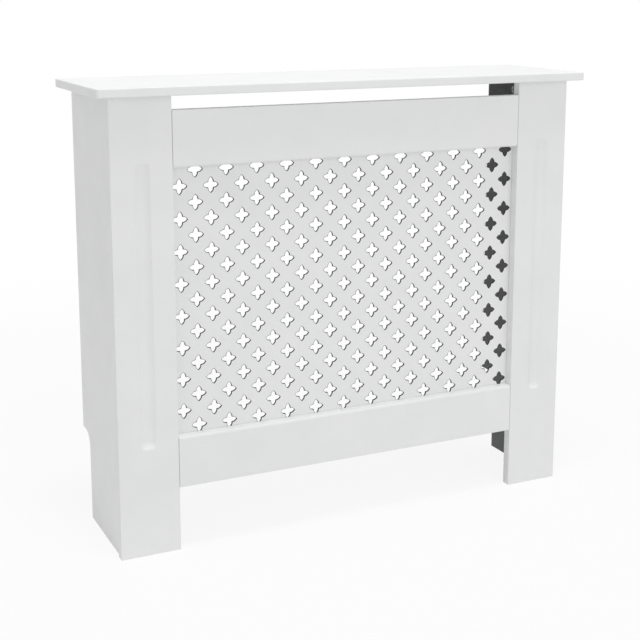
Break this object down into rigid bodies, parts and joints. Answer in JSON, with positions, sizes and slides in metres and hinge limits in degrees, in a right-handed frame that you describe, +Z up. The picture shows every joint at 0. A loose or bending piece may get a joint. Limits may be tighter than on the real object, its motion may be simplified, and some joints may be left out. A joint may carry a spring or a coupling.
{
  "type": "radiator cover cabinet",
  "caption": "Painted fibreboard radiator cover with a pierced quatrefoil grille, fluted pilasters, an overhanging top and notched sides.",
  "frame": {"origin": "on the floor, below the middle of the top board", "axes": "+X along the front to the right as seen from the front, +Y from the front to the wall, +Z up"},
  "size_m": [0.95, 0.267, 0.815],
  "materials": {
    "painted_fibreboard": "satin white paint on fibreboard",
    "side_fibreboard": "satin white paint outside, dark grey primer inside",
    "grille_fibreboard": "satin white paint, dark cut edges in the holes",
    "cam_zinc": "die-cast zinc, nickel plated",
    "bolt_steel": "zinc-plated steel",
    "beech": "bare grooved beech",
    "bracket_steel": "zinc-plated pressed steel",
    "screw_steel": "zinc-plated steel"
  },
  "bodies": {
    "cabinet": {"top_board": "painted_fibreboard", "left_side_panel": "side_fibreboard", "right_side_panel": "side_fibreboard", "left_pilaster": "painted_fibreboard", "right_pilaster": "painted_fibreboard", "top_rail": "painted_fibreboard", "bottom_rail": "painted_fibreboard", "grille_panel": "grille_fibreboard", "left_cam_bolts": "bolt_steel", "right_cam_bolts": "bolt_steel", "left_top_dowels": "beech", "right_top_dowels": "beech", "left_front_dowels": "beech", "right_front_dowels": "beech", "left_top_rail_dowels": "beech", "right_top_rail_dowels": "beech", "left_bottom_rail_dowels": "beech", "right_bottom_rail_dowels": "beech", "wall_brackets": "bracket_steel", "bracket_screws": "screw_steel", "top_rail_screws": "screw_steel", "bottom_rail_screws": "screw_steel"},
    "left_front_cam": {"left_front_cam": "cam_zinc"},
    "left_rear_cam": {"left_rear_cam": "cam_zinc"},
    "right_front_cam": {"right_front_cam": "cam_zinc"},
    "right_rear_cam": {"right_rear_cam": "cam_zinc"}
  },
  "joints": [
    {"name": "left_front_cam_turn", "type": "hinge", "parent": "cabinet", "child": "left_front_cam", "pos_m": [-0.432, -0.002, 0.771], "axis": [1, 0, 0], "range_deg": [0, 180]},
    {"name": "left_rear_cam_turn", "type": "hinge", "parent": "cabinet", "child": "left_rear_cam", "pos_m": [-0.432, 0.042, 0.771], "axis": [1, 0, 0], "range_deg": [0, 180]},
    {"name": "right_front_cam_turn", "type": "hinge", "parent": "cabinet", "child": "right_front_cam", "pos_m": [0.432, -0.002, 0.771], "axis": [1, 0, 0], "range_deg": [0, 180]},
    {"name": "right_rear_cam_turn", "type": "hinge", "parent": "cabinet", "child": "right_rear_cam", "pos_m": [0.432, 0.042, 0.771], "axis": [1, 0, 0], "range_deg": [0, 180]}
  ]
}
